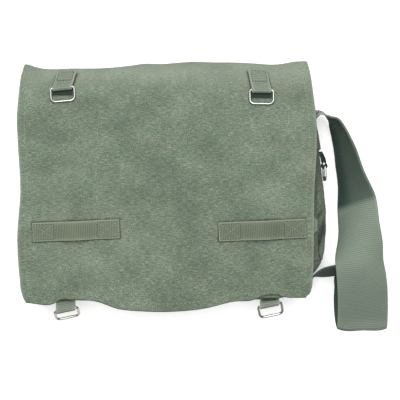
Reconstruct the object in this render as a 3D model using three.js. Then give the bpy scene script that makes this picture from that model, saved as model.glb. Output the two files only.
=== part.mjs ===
// A canvas field bag lying on its back: five sewn body panels, a flap over the front, webbing tabs
// with wire rings, two lash loops and a wide shoulder strap. Millimetres. X runs to the bag's right,
// Y to its top and Z out of its front, and the floor under the back panel is Z = 0.
import * as THREE from 'three';

const { lerp, smoothstep, degToRad } = THREE.MathUtils;

// Cloth and gaps
const CANVAS = 1.6;
const SEAM_GAP = 0.3;
const FACET_GAP = 0.6;

// Body panels
const BODY_LEFT = -141;
const BODY_RIGHT = 150;
const BODY_BOTTOM = -116;
const BODY_CORNER = 36;
const FRONT_TOP = 106;
const GUSSET_TOP = 112;
const BACK_TOP = 121;
const BACK_MARGIN = 1.5;
const FLAP_TO_FRONT = 3.2;

// How far the gusset bulges out at its half depth, by the distance along it from the right mouth corner
const GUSSET_BULGE = [
  { along: 0, bulge: 3.5 },
  { along: 46, bulge: 10.5 },
  { along: 112, bulge: 18 },
  { along: 152, bulge: 21 },
  { along: 180, bulge: 19 },
  { along: 196, bulge: 16.5 },
  { along: 208, bulge: 11.5 },
  { along: 222, bulge: 5.5 },
  { along: 240, bulge: 2 },
  { along: 358, bulge: 2.5 },
  { along: 520, bulge: 1.5 },
  { along: 640, bulge: 3 },
  { along: 716, bulge: 2 },
];

// Flap: its profile down the middle from the hem, over the front and round the mouth to the back
const FLAP_PROFILE = [
  { y: -124, z: 77 },
  { y: -100, z: 80 },
  { y: -50, z: 83.4 },
  { y: 0, z: 84 },
  { y: 50, z: 83.2 },
  { y: 88, z: 79.5 },
  { y: 114, z: 67 },
  { y: 129, z: 44 },
  { y: 128, z: 20 },
  { y: 119.6, z: 2.1 },
];
const FLAP_DROOP = 7;
const FLAP_HALF = 156;
const FLAP_HEM = -124;
const FLAP_CROWN = 129;
const HEM_FADE = 60;
const ROLL_FADE = 80;

// The flap's side edges by height, its hem and its rolled top edge by width
const FLAP_SIDES = [
  { y: -123, left: -149.5, right: 145.5 },
  { y: -113, left: -154, right: 152 },
  { y: -98, left: -155.8, right: 155.4 },
  { y: -60, left: -158.2, right: 156.5 },
  { y: 0, left: -154.6, right: 157.4 },
  { y: 39, left: -157, right: 159.5 },
  { y: 72, left: -158.7, right: 159 },
  { y: 98, left: -157.2, right: 156.2 },
  { y: 117, left: -156, right: 154 },
  { y: 128, left: -154.5, right: 152 },
];
const HEM_LINE = [
  { x: -148, y: -124.3 },
  { x: -119, y: -124.8 },
  { x: -113, y: -121.6 },
  { x: -98, y: -121 },
  { x: -73, y: -122.8 },
  { x: -52, y: -130 },
  { x: -28, y: -132.5 },
  { x: 1, y: -133.6 },
  { x: 41, y: -129.8 },
  { x: 72, y: -122.5 },
  { x: 93, y: -120.7 },
  { x: 100, y: -117.6 },
  { x: 117, y: -115.8 },
  { x: 126, y: -118.1 },
  { x: 146, y: -118.9 },
];
const TOP_LINE = [
  { x: -151, y: 130.5 },
  { x: -138, y: 127.2 },
  { x: -93, y: 126.2 },
  { x: -54, y: 127.3 },
  { x: -40, y: 129.3 },
  { x: -25, y: 131.5 },
  { x: -10, y: 131 },
  { x: 22, y: 133 },
  { x: 51, y: 133 },
  { x: 87, y: 132 },
  { x: 125, y: 130.3 },
  { x: 139, y: 132.6 },
  { x: 150, y: 133.4 },
];

// Webbing tabs folded round the bar of a rectangular wire ring
const TAB_WIDTH = 20.6;
const TAB_WEB = 1.2;
const TAB_LENGTH = 25;
const TAB_LOWER_LIFT = 0.9;
const TAB_UPPER_LIFT = 2.6;
const TAB_RISE = 7;
const FOLD_RADIUS = 2.4;
const FLAP_TABS = [
  { side: 'left', x: -110.3, barY: 103.5, skew: 6, lean: 4 },
  { side: 'right', x: 100.8, barY: 99.8, skew: 0, lean: -4 },
];

// The side tab stands off its wall in a bow, by how far down it is
const SIDE_TAB = { barY: 22, length: 15.5 };
const SIDE_BOW = [
  { reach: 0, upper: 2.4, lower: 0.9 },
  { reach: 3, upper: 4.6, lower: 1.4 },
  { reach: 7.5, upper: 6.4, lower: 2.6 },
  { reach: 12, upper: 6.4, lower: 1.6 },
];

// Tabs on the bottom gusset that reach out under the flap's hem
const BASE_TABS = [
  { side: 'left', x: -107.6, reach: 13.4, skew: 12, fall: 52 },
  { side: 'right', x: 110, reach: 8, skew: 12, fall: 35 },
];
const BASE_BAR_Z = 61.5;
const BASE_LEG_TOP = 68;
const BASE_SEWN_END = 1.5;

// Rings: width and length between the wire's centre lines
const WIRE = 2.8;
const WIRE_SIDES = 8;
const RING_WIDTH = 25;
const RING_LENGTH = 15;
const RING_BAR_CORNER = 2.2;
const RING_FAR_CORNER = 4;

// Lash loops: flat webbing sewn at both ends, standing open in the middle
const LOOP_LENGTH = 92.5;
const LOOP_WIDTH = 20.4;
const LOOP_WEB = 1.6;
const LOOP_OPEN_HALF = 17;
const LOOP_ARCH = 5.6;
const LOOP_LIFT = 1.1;
const LOOP_TILT = 2.5;
const LASH_LOOPS = [
  { side: 'left', x: -95.4, y: -47 },
  { side: 'right', x: 101.5, y: -46.5 },
];

// Shoulder strap
const STRAP_WIDTH = 55;
const STRAP_WEB = 2;
const STRAP_ACROSS = 4;
const STRAP_STEPS = 132;
const STRAP_SEAT = CANVAS / 2 + FACET_GAP + STRAP_WEB / 2;
const PATCH_LOW = 39.5;
const PATCH_HIGH = 72;
const PATCH_Z = 36.5;
const PATCH_LIFT = 0.7;
const RUN_Z = 28.6;

const COLOURS = {
  canvas: { color: 0x7a8870, roughness: 0.95, metalness: 0 },
  webbing: { color: 0x6f7862, roughness: 0.9, metalness: 0 },
  nickel: { color: 0xd4d6d3, roughness: 0.25, metalness: 1 },
};

// Smooth value from a short table, by a cubic through its rows
function fromTable(rows, key, value, at) {
  const last = rows.length - 1;
  if (at <= rows[0][key]) return rows[0][value];
  if (at >= rows[last][key]) return rows[last][value];
  const row = rows.findIndex((entry) => entry[key] >= at) - 1;
  const slope = (i) => {
    const before = rows[Math.max(i - 1, 0)];
    const after = rows[Math.min(i + 1, last)];
    return (after[value] - before[value]) / (after[key] - before[key]);
  };
  const span = rows[row + 1][key] - rows[row][key];
  const t = (at - rows[row][key]) / span;
  const rise = rows[row + 1][value] - rows[row][value];
  const startPull = slope(row) * span - rise;
  const endPull = rise - slope(row + 1) * span;
  return rows[row][value] + rise * t + t * (1 - t) * ((1 - t) * startPull + t * endPull);
}

// Closed triangle mesh with its faces turned outwards
function closedGeometry(points, triangles) {
  const volume = triangles.reduce((sum, [a, b, c]) => {
    return sum + points[a].dot(new THREE.Vector3().crossVectors(points[b], points[c]));
  }, 0);
  const outward = volume > 0 ? triangles : triangles.map(([a, b, c]) => [a, c, b]);
  const geometry = new THREE.BufferGeometry().setFromPoints(points);
  geometry.setIndex(outward.flat());
  geometry.computeVertexNormals();
  return geometry;
}

// Cloth of real thickness: surface(u, v, side) gives a point on the face at side +1 or -1
function clothGeometry(surface, columns, rows) {
  const points = [];
  for (const side of [1, -1]) {
    for (let j = 0; j <= rows; j += 1) {
      for (let i = 0; i <= columns; i += 1) points.push(surface(i / columns, j / rows, side));
    }
  }
  const at = (i, j, back) => back * (columns + 1) * (rows + 1) + j * (columns + 1) + i;
  const triangles = [];
  const quad = (a, b, c, d) => triangles.push([a, b, c], [a, c, d]);
  for (let j = 0; j < rows; j += 1) {
    for (let i = 0; i < columns; i += 1) {
      quad(at(i, j, 0), at(i + 1, j, 0), at(i + 1, j + 1, 0), at(i, j + 1, 0));
      quad(at(i, j, 1), at(i, j + 1, 1), at(i + 1, j + 1, 1), at(i + 1, j, 1));
    }
  }
  for (let i = 0; i < columns; i += 1) {
    quad(at(i + 1, 0, 0), at(i, 0, 0), at(i, 0, 1), at(i + 1, 0, 1));
    quad(at(i, rows, 0), at(i + 1, rows, 0), at(i + 1, rows, 1), at(i, rows, 1));
  }
  for (let j = 0; j < rows; j += 1) {
    quad(at(0, j, 0), at(0, j + 1, 0), at(0, j + 1, 1), at(0, j, 1));
    quad(at(columns, j + 1, 0), at(columns, j, 0), at(columns, j, 1), at(columns, j + 1, 1));
  }
  return closedGeometry(points, triangles);
}

// Flap surface
const flapCurve = new THREE.CatmullRomCurve3(
  FLAP_PROFILE.map(({ y, z }) => new THREE.Vector3(0, y, z)),
);
const flapLength = flapCurve.getLength();
const rollStation = [...Array(101).keys()]
  .map((i) => i / 100)
  .reduce((best, s) => (flapCurve.getPointAt(s).y > flapCurve.getPointAt(best).y ? s : best), 0);

function flapStation(y) {
  let low = 0;
  let high = rollStation;
  for (let i = 0; i < 24; i += 1) {
    const middle = (low + high) / 2;
    if (flapCurve.getPointAt(middle).y < y) low = middle;
    else high = middle;
  }
  return (low + high) / 2;
}

function flapMiddle(x, station) {
  const profile = flapCurve.getPointAt(THREE.MathUtils.clamp(station, 0, 1));
  const hemShare = 1 - smoothstep(profile.y, FLAP_HEM, FLAP_HEM + HEM_FADE);
  const beforeRoll = smoothstep(station, rollStation - ROLL_FADE / flapLength, rollStation);
  const topShare = beforeRoll * (1 - smoothstep(station, rollStation, 1));
  const hem = station < rollStation ? (fromTable(HEM_LINE, 'x', 'y', x) - FLAP_HEM) * hemShare : 0;
  const top = (fromTable(TOP_LINE, 'x', 'y', x) - FLAP_CROWN) * topShare;
  const droop = FLAP_DROOP * (x / FLAP_HALF) ** 2 * smoothstep(profile.z, 0, 60);
  return new THREE.Vector3(x, profile.y + hem + top, profile.z - droop);
}

// A point lifted square off the flap's middle surface
function flapPoint(x, station, lift) {
  const step = 0.002;
  const from = THREE.MathUtils.clamp(station, step, 1 - step);
  const across = flapMiddle(x + 1, from).sub(flapMiddle(x - 1, from));
  const upward = flapMiddle(x, from + step).sub(flapMiddle(x, from - step));
  const normal = across.cross(upward).normalize();
  return flapMiddle(x, station).addScaledVector(normal, lift);
}

function flapEdge(side, station) {
  const edge = fromTable(FLAP_SIDES, 'y', side, flapCurve.getPointAt(station).y);
  const seam = side === 'left' ? BODY_LEFT + 1 : BODY_RIGHT - 1;
  return lerp(edge, seam, smoothstep(station, rollStation, 1));
}

function flapGeometry() {
  return clothGeometry((u, v, side) => {
    const x = lerp(flapEdge('left', v), flapEdge('right', v), u);
    return flapPoint(x, v, (side * CANVAS) / 2);
  }, 18, 30);
}

// Body panels
function frontHeight(x, y) {
  return flapMiddle(x, flapStation(y)).z - FLAP_TO_FRONT;
}

// How far the rounded bottom corner takes the side seam in
function cornerInset(y) {
  const below = Math.max(0, BODY_BOTTOM + BODY_CORNER - y);
  return BODY_CORNER - Math.sqrt(BODY_CORNER ** 2 - below ** 2);
}

function frontGeometry() {
  const cornerCrowding = 1.2;
  return clothGeometry((u, v, side) => {
    const y = lerp(BODY_BOTTOM, FRONT_TOP, v ** cornerCrowding);
    const x = lerp(BODY_LEFT + cornerInset(y), BODY_RIGHT - cornerInset(y), u);
    return new THREE.Vector3(x, y, frontHeight(x, y) + (side * CANVAS) / 2);
  }, 10, 20);
}

function backGeometry() {
  const left = BODY_LEFT - BACK_MARGIN;
  const right = BODY_RIGHT + BACK_MARGIN;
  const bottom = BODY_BOTTOM - BACK_MARGIN;
  const corner = BODY_CORNER + BACK_MARGIN;
  const outline = new THREE.Shape();
  outline.moveTo(left, BACK_TOP);
  outline.lineTo(left, bottom + corner);
  outline.absarc(left + corner, bottom + corner, corner, Math.PI, 1.5 * Math.PI, false);
  outline.lineTo(right - corner, bottom);
  outline.absarc(right - corner, bottom + corner, corner, 1.5 * Math.PI, 2 * Math.PI, false);
  outline.lineTo(right, BACK_TOP);
  outline.closePath();
  const wall = { depth: CANVAS, bevelEnabled: false, curveSegments: 8 };
  return new THREE.ExtrudeGeometry(outline, wall);
}

// The gusset's seam line runs down the right side, along the bottom and up the left side
const SIDE_RUN = GUSSET_TOP - BODY_BOTTOM - BODY_CORNER;
const CORNER_RUN = (Math.PI / 2) * BODY_CORNER;
const BOTTOM_RUN = BODY_RIGHT - BODY_LEFT - 2 * BODY_CORNER;
const GUSSET_RUN = 2 * SIDE_RUN + 2 * CORNER_RUN + BOTTOM_RUN;

function seamLine(along) {
  const rightCorner = new THREE.Vector2(BODY_RIGHT - BODY_CORNER, BODY_BOTTOM + BODY_CORNER);
  const leftCorner = new THREE.Vector2(BODY_LEFT + BODY_CORNER, BODY_BOTTOM + BODY_CORNER);
  const arc = (centre, angle) => {
    const out = new THREE.Vector2(Math.cos(angle), Math.sin(angle));
    return { point: centre.clone().addScaledVector(out, BODY_CORNER), out };
  };
  if (along <= SIDE_RUN) {
    return { point: new THREE.Vector2(BODY_RIGHT, GUSSET_TOP - along), out: new THREE.Vector2(1, 0) };
  }
  let rest = along - SIDE_RUN;
  if (rest <= CORNER_RUN) return arc(rightCorner, -rest / BODY_CORNER);
  rest -= CORNER_RUN;
  if (rest <= BOTTOM_RUN) {
    return { point: new THREE.Vector2(rightCorner.x - rest, BODY_BOTTOM), out: new THREE.Vector2(0, -1) };
  }
  rest -= BOTTOM_RUN;
  if (rest <= CORNER_RUN) return arc(leftCorner, -Math.PI / 2 - rest / BODY_CORNER);
  rest -= CORNER_RUN;
  return { point: new THREE.Vector2(BODY_LEFT, leftCorner.y + rest), out: new THREE.Vector2(-1, 0) };
}

// Lowest and highest ends of the gusset wall at one place along it
function gussetEnds(along) {
  const { point } = seamLine(along);
  return { low: CANVAS + SEAM_GAP, high: frontHeight(point.x, point.y) - CANVAS / 2 - FACET_GAP };
}

// A point on the gusset wall, lifted straight out from its middle surface
function gussetPoint(along, z, lift) {
  const { point, out } = seamLine(along);
  const { low, high } = gussetEnds(along);
  const depth = (z - low) / (high - low);
  const bulge = 4 * depth * (1 - depth) * fromTable(GUSSET_BULGE, 'along', 'bulge', along);
  point.addScaledVector(out, bulge + lift);
  return new THREE.Vector3(point.x, point.y, z);
}

function gussetGeometry(start, end, columns) {
  return clothGeometry((u, v, side) => {
    const along = lerp(start, end, u);
    const { low, high } = gussetEnds(along);
    return gussetPoint(along, lerp(low, high, v), (side * CANVAS) / 2);
  }, columns, 8);
}

// A webbing tab: place(across, reach, lift) puts its folded profile on what carries it
function tabGeometry(profile, place) {
  const curve = new THREE.CatmullRomCurve3(profile.map(([reach, lift]) => new THREE.Vector3(reach, lift, 0)));
  return clothGeometry((u, v, side) => {
    const middle = curve.getPointAt(v);
    const run = curve.getTangentAt(v);
    const face = (side * TAB_WEB) / 2;
    return place((u - 0.5) * TAB_WIDTH, middle.x - run.y * face, middle.y + run.x * face);
  }, 2, 26);
}

// Half turn round the ring's bar, from above it to below it
function foldRound(reach, lift) {
  const turns = [90, 60, 30, 0, -30, -60, -90];
  return turns.map((turn) => {
    const angle = degToRad(turn);
    return [reach + FOLD_RADIUS * Math.cos(angle), lift + FOLD_RADIUS * Math.sin(angle)];
  });
}

const BAR_LIFT = TAB_LOWER_LIFT + FOLD_RADIUS;

function sewnTabProfile(length) {
  return [
    [0, TAB_UPPER_LIFT],
    [(length - TAB_RISE) / 2, TAB_UPPER_LIFT],
    [length - TAB_RISE, TAB_UPPER_LIFT],
    ...foldRound(length, BAR_LIFT),
    [length - TAB_RISE, TAB_LOWER_LIFT],
    [(length - TAB_RISE) / 2, TAB_LOWER_LIFT],
    [0, TAB_LOWER_LIFT],
  ];
}

// Rectangular ring in its own plane, with its bar along X through the origin
function ringGeometry() {
  const half = RING_WIDTH / 2;
  const corners = [
    { x: half - RING_BAR_CORNER, y: RING_BAR_CORNER, radius: RING_BAR_CORNER, from: -90 },
    { x: half - RING_FAR_CORNER, y: RING_LENGTH - RING_FAR_CORNER, radius: RING_FAR_CORNER, from: 0 },
    { x: RING_FAR_CORNER - half, y: RING_LENGTH - RING_FAR_CORNER, radius: RING_FAR_CORNER, from: 90 },
    { x: RING_BAR_CORNER - half, y: RING_BAR_CORNER, radius: RING_BAR_CORNER, from: 180 },
  ];
  const path = corners.flatMap(({ x, y, radius, from }) => [0, 30, 60, 90].map((turn) => {
    const angle = degToRad(from + turn);
    const out = new THREE.Vector3(Math.cos(angle), Math.sin(angle), 0);
    return { centre: new THREE.Vector3(x, y, 0).addScaledVector(out, radius), out };
  }));
  const points = path.flatMap(({ centre, out }) => [...Array(WIRE_SIDES).keys()].map((k) => {
    const angle = (2 * Math.PI * k) / WIRE_SIDES;
    const rim = centre.clone().addScaledVector(out, (WIRE / 2) * Math.cos(angle));
    return rim.setZ((WIRE / 2) * Math.sin(angle));
  }));
  const triangles = [];
  path.forEach((_, i) => {
    const next = (i + 1) % path.length;
    for (let k = 0; k < WIRE_SIDES; k += 1) {
      const turn = (k + 1) % WIRE_SIDES;
      const a = i * WIRE_SIDES + k;
      const b = next * WIRE_SIDES + k;
      const c = next * WIRE_SIDES + turn;
      const d = i * WIRE_SIDES + turn;
      triangles.push([a, b, c], [a, c, d]);
    }
  });
  return closedGeometry(points, triangles);
}

// Lash loop, laid on the flap and turned a little
function loopGeometry({ x, y }) {
  const tilt = degToRad(LOOP_TILT);
  return clothGeometry((u, v, side) => {
    const run = (u - 0.5) * LOOP_LENGTH;
    const across = (v - 0.5) * LOOP_WIDTH;
    const open = Math.max(0, 1 - (run / LOOP_OPEN_HALF) ** 4);
    const lift = CANVAS / 2 + LOOP_LIFT + LOOP_ARCH * open + (side * LOOP_WEB) / 2;
    const station = flapStation(y + run * Math.sin(tilt) + across * Math.cos(tilt));
    return flapPoint(x + run * Math.cos(tilt) - across * Math.sin(tilt), station, lift);
  }, 26, 3);
}

// Shoulder strap: stations by hand down its length, each with its middle, the way its width points
// and how far its edges bend back, which takes in the width that it spans
function strapStations() {
  const stations = [];
  const add = (x, y, z, width, cup = 0) => {
    stations.push({ middle: new THREE.Vector3(x, y, z), width: new THREE.Vector3(...width), cup });
  };
  const upright = [0, 0, 1];
  const onGusset = (along, z, lift, cup) => {
    const { x, y } = gussetPoint(along, z, STRAP_SEAT + lift);
    add(x, y, z, upright, cup);
  };
  const sewn = (along) => {
    const { low, high } = gussetEnds(along);
    const share = STRAP_WIDTH / (high - low);
    return fromTable(GUSSET_BULGE, 'along', 'bulge', along) * share ** 2;
  };
  // Sewn to the right gusset, then over an arch and down beside the bag
  for (const y of [PATCH_LOW, (PATCH_LOW + PATCH_HIGH) / 2, PATCH_HIGH]) {
    onGusset(GUSSET_TOP - y, PATCH_Z, PATCH_LIFT, sewn(GUSSET_TOP - y));
  }
  add(163.2, 77.2, 38, upright, 2.5);
  add(166.4, 80, 38, upright, 0.6);
  add(171, 77.8, 38, upright);
  add(175.5, 74, 38, [0.08, 0, 1]);
  add(180.1, 70.1, 38, [0.16, 0, 0.99]);
  add(185.4, 58.7, 38, [0.25, 0, 0.97]);
  add(191, 43.6, 38.5, [0.36, 0, 0.93]);
  add(195.7, 28.5, 40, [0.46, 0, 0.89]);
  add(201, 6.9, 41, [0.58, 0, 0.81], 1);
  add(205.7, -14.7, 44, [0.75, 0, 0.66], 3);
  add(207, -47, 53, [0.9, 0, 0.43], 8);
  add(208.5, -81, 60, [0.97, 0, -0.12], 6);
  add(211, -106.5, 48, [0.98, 0, -0.16], 4);
  add(212.7, -128.8, 27.5, [0.99, 0, -0.1], 2);
  add(213.6, -146, 11, [1, 0, -0.05]);
  // Folded under on the floor, then banked up on edge as it turns towards the bag
  add(213.6, -154.8, 6.6, [1, 0, 0]);
  add(213.4, -157.6, 4.4, [1, 0, 0]);
  add(213.1, -154.8, 2.3, [1, 0, 0]);
  add(211, -142, 1.8, [1, 0, 0]);
  add(210, -126, 3.6, [1, -0.04, 0.06]);
  add(210, -110, 9.2, [0.97, 0.07, 0.25]);
  add(206.8, -97.5, 17.6, [0.81, 0.24, 0.53]);
  add(198.3, -90.5, 24.6, [0.52, 0.36, 0.78]);
  add(188, -90.8, 28.2, [0.23, 0.26, 0.94]);
  add(178.5, -92.8, 28.8, [0.09, 0.16, 0.98]);
  add(166.8, -95.8, 28.8, [0.03, 0.08, 1]);
  // On edge round the bag's bottom and up its left side
  for (const along of [212, 223]) onGusset(along, RUN_Z, 1.4, 0);
  for (const along of [235, 250, 300, 358, 415, 468, 483, 498, 512, 525, 560]) {
    onGusset(along, RUN_Z, 0.6, 0);
  }
  onGusset(GUSSET_RUN - GUSSET_TOP, 31, 1.2, 0);
  onGusset(GUSSET_RUN - GUSSET_TOP + 36, 35, 4, 0);
  // Over a small arch and down to the sewn end on the left gusset
  const leftAlong = (y) => GUSSET_RUN - GUSSET_TOP + y;
  onGusset(leftAlong(PATCH_HIGH), 38, 6, 0);
  onGusset(leftAlong(PATCH_HIGH + 6), 38, 5.2, 0);
  onGusset(leftAlong(PATCH_HIGH + 8), 38, 3, 0);
  onGusset(leftAlong(PATCH_HIGH + 6), 38, 0.8, 0);
  for (const y of [PATCH_HIGH, (PATCH_LOW + PATCH_HIGH) / 2, PATCH_LOW]) {
    onGusset(leftAlong(y), PATCH_Z, 0, 0);
  }
  return stations;
}

function strapGeometry() {
  const stations = strapStations();
  const path = new THREE.CatmullRomCurve3(stations.map(({ middle }) => middle));
  const last = stations.length - 1;
  return clothGeometry((u, v, side) => {
    const place = path.getUtoTmapping(v);
    const before = Math.min(Math.floor(place * last), last - 1);
    const share = place * last - before;
    const run = path.getTangent(place);
    const width = stations[before].width.clone().lerp(stations[before + 1].width, share);
    width.addScaledVector(run, -width.dot(run)).normalize();
    const face = new THREE.Vector3().crossVectors(run, width);
    const across = 2 * u - 1;
    const cup = lerp(stations[before].cup, stations[before + 1].cup, share);
    const halfSpan = STRAP_WIDTH / 2 - (4 * cup ** 2) / (3 * STRAP_WIDTH);
    return path.getPoint(place)
      .addScaledVector(width, across * halfSpan)
      .addScaledVector(face, (side * STRAP_WEB) / 2 - cup * across ** 2);
  }, STRAP_ACROSS, STRAP_STEPS);
}

// The assembled bag
const bag = new THREE.Group();

function addPiece(name, geometry, finish) {
  const mesh = new THREE.Mesh(geometry, new THREE.MeshStandardMaterial(COLOURS[finish]));
  mesh.name = name;
  bag.add(mesh);
  return mesh;
}

// Hangs a ring with its bar at one point and its far side towards another
function addRing(name, bar, barRun, far) {
  const ring = addPiece(name, ringGeometry(), 'nickel');
  const reach = far.clone().sub(bar);
  reach.addScaledVector(barRun, -reach.dot(barRun)).normalize();
  const face = new THREE.Vector3().crossVectors(barRun, reach);
  ring.quaternion.setFromRotationMatrix(new THREE.Matrix4().makeBasis(barRun, reach, face));
  ring.position.copy(bar);
}

addPiece('back_panel', backGeometry(), 'canvas');
addPiece('front_panel', frontGeometry(), 'canvas');
addPiece('gusset_right', gussetGeometry(0, SIDE_RUN, 16), 'canvas');
const leftSeam = GUSSET_RUN - SIDE_RUN;
addPiece('gusset_bottom', gussetGeometry(SIDE_RUN + SEAM_GAP, leftSeam - SEAM_GAP, 30), 'canvas');
addPiece('gusset_left', gussetGeometry(leftSeam, GUSSET_RUN, 12), 'canvas');
addPiece('flap', flapGeometry(), 'canvas');

const flapFace = CANVAS / 2;
const ringRest = WIRE / 2 + FACET_GAP;

for (const { side, x, barY, skew, lean } of FLAP_TABS) {
  const barStation = flapStation(barY);
  const slant = Math.tan(degToRad(skew));
  const place = (across, reach, lift) => {
    const slip = slant * across * smoothstep(reach, 0, TAB_LENGTH);
    const station = barStation + (TAB_LENGTH - reach + slip) / flapLength;
    const shift = lean * Math.max(0, 1 - reach / TAB_LENGTH);
    return flapPoint(x + across + shift, station, flapFace + lift);
  };
  addPiece(`flap_tab_${side}`, tabGeometry(sewnTabProfile(TAB_LENGTH), place), 'webbing');
  const barEnd = (across) => place(across, TAB_LENGTH, BAR_LIFT);
  const barRun = barEnd(TAB_WIDTH / 2).sub(barEnd(-TAB_WIDTH / 2)).normalize();
  addRing(`flap_ring_${side}`, barEnd(0), barRun, place(0, TAB_LENGTH + RING_LENGTH, ringRest));
}

const sidePlace = (across, reach, lift) => {
  const along = GUSSET_TOP - SIDE_TAB.barY - SIDE_TAB.length + reach;
  const middle = gussetPoint(along, PATCH_Z, CANVAS / 2 + SEAM_GAP + lift);
  return middle.setZ(PATCH_Z + across);
};
const sideProfile = [
  ...SIDE_BOW.map(({ reach, upper }) => [reach, upper]),
  ...foldRound(SIDE_TAB.length, BAR_LIFT),
  ...[...SIDE_BOW].reverse().map(({ reach, lower }) => [reach, lower]),
];
addPiece('side_tab_right', tabGeometry(sideProfile, sidePlace), 'webbing');
addRing(
  'side_ring_right',
  sidePlace(0, SIDE_TAB.length, BAR_LIFT),
  new THREE.Vector3(0, 0, 1),
  sidePlace(0, SIDE_TAB.length + RING_LENGTH, ringRest),
);

for (const { side, x, reach: length, skew, fall } of BASE_TABS) {
  const slant = Math.tan(degToRad(skew));
  const along = SIDE_RUN + CORNER_RUN + BODY_RIGHT - BODY_CORNER - x;
  const legY = gussetPoint(along, BASE_BAR_Z, CANVAS / 2 + SEAM_GAP + TAB_WEB / 2).y;
  const foldTop = BASE_BAR_Z + FOLD_RADIUS;
  const foldUnder = BASE_BAR_Z - FOLD_RADIUS;
  const profile = [
    [0, BASE_LEG_TOP],
    [0, BASE_LEG_TOP - BASE_SEWN_END],
    [0.9, foldTop + 0.6],
    [2.6, foldTop],
    ...foldRound(length, BASE_BAR_Z),
    [2.6, foldUnder + 1.2],
    [1.2, foldUnder + 1.4],
  ];
  const place = (across, reach, lift) => {
    const slip = slant * across * smoothstep(reach, 0, length);
    return new THREE.Vector3(x + across, legY - reach + slip, lift);
  };
  addPiece(`base_tab_${side}`, tabGeometry(profile, place), 'webbing');
  const bar = place(0, length, BASE_BAR_Z);
  const barRun = new THREE.Vector3(1, slant, 0).normalize();
  const drop = degToRad(fall);
  const outward = new THREE.Vector3(slant, -1, 0).normalize().multiplyScalar(Math.cos(drop));
  addRing(`base_ring_${side}`, bar, barRun, bar.clone().add(outward.setZ(-Math.sin(drop))));
}

for (const loop of LASH_LOOPS) addPiece(`lash_loop_${loop.side}`, loopGeometry(loop), 'webbing');

addPiece('shoulder_strap', strapGeometry(), 'webbing');

export default bag;
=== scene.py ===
import math

import bmesh
import bpy
import numpy as np
from mathutils import Matrix, Vector, noise


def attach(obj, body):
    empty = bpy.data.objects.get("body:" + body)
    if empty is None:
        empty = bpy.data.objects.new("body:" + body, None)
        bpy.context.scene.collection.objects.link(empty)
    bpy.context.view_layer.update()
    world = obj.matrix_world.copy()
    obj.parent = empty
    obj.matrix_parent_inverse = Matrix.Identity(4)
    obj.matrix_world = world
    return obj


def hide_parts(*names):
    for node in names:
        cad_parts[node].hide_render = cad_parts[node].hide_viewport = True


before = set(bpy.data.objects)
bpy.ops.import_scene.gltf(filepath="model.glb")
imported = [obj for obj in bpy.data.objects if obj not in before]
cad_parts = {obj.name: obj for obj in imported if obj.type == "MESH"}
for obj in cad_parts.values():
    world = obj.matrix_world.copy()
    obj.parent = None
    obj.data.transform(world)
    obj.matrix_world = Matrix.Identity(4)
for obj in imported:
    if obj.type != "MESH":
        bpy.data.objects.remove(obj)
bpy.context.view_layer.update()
MM = 0.001

# The table, the light and the camera
# A white table top that gives off some light itself, under a broad soft light overhead and a lower one
# at the head of the bag. The camera looks straight down through a long lens.
def linear(hex_colour):
    """Linear RGBA from an sRGB hex colour such as #7b8976."""
    parts = [int(hex_colour[i:i + 2], 16) / 255 for i in (1, 3, 5)]
    return tuple(c / 12.92 if c <= 0.04045 else ((c + 0.055) / 1.055) ** 2.4 for c in parts) + (1.0,)


def new_material(name):
    material = bpy.data.materials.new(name)
    material.use_nodes = True
    return material, material.node_tree.nodes["Principled BSDF"]


table_paint, table_shader = new_material("white_table_paint")
table_shader.inputs["Base Color"].default_value = linear("#f4f4f2")
table_shader.inputs["Roughness"].default_value = 0.9
table_shader.inputs["Emission Color"].default_value = linear("#ffffff")
table_shader.inputs["Emission Strength"].default_value = 0.4
table_side, table_gap = 9, 0.4 * MM
bpy.ops.object.select_all(action="DESELECT")
bpy.ops.mesh.primitive_plane_add(size=table_side, location=(0, 0, -table_gap))
table = bpy.context.object
table.name = "table"
table.data.materials.append(table_paint)


def soft_light(name, place, aim, size, power):
    light = bpy.data.lights.new(name, "AREA")
    light.shape = "SQUARE"
    light.size = size
    light.energy = power
    lamp = bpy.data.objects.new(name, light)
    lamp.location = place
    lamp.rotation_euler = (Vector(aim) - Vector(place)).to_track_quat("-Z", "Y").to_euler()
    bpy.context.scene.collection.objects.link(lamp)


bag_middle = (0.03, 0, 0)
soft_light("top_light", (0, 0.12, 2.3), bag_middle, size=1.5, power=56)
soft_light("head_light", (-0.1, 1.15, 1.8), bag_middle, size=0.7, power=18)
room = bpy.data.worlds.new("room")
room.use_nodes = True
room.node_tree.nodes["Background"].inputs["Color"].default_value = (1, 1, 1, 1)
room.node_tree.nodes["Background"].inputs["Strength"].default_value = 0.16
bpy.context.scene.world = room
bpy.context.scene.view_settings.view_transform = "Standard"

camera_x, camera_y, camera_height = 35.7, -14.7, 2095
framed_height, framed_side = 95, 420
lens = bpy.data.cameras.new("camera")
lens.sensor_width = 36
lens.lens = lens.sensor_width * (camera_height - framed_height) / framed_side
camera = bpy.data.objects.new("camera", lens)
camera.location = Vector((camera_x, camera_y, camera_height)) * MM
bpy.context.scene.collection.objects.link(camera)
bpy.context.scene.camera = camera

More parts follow.
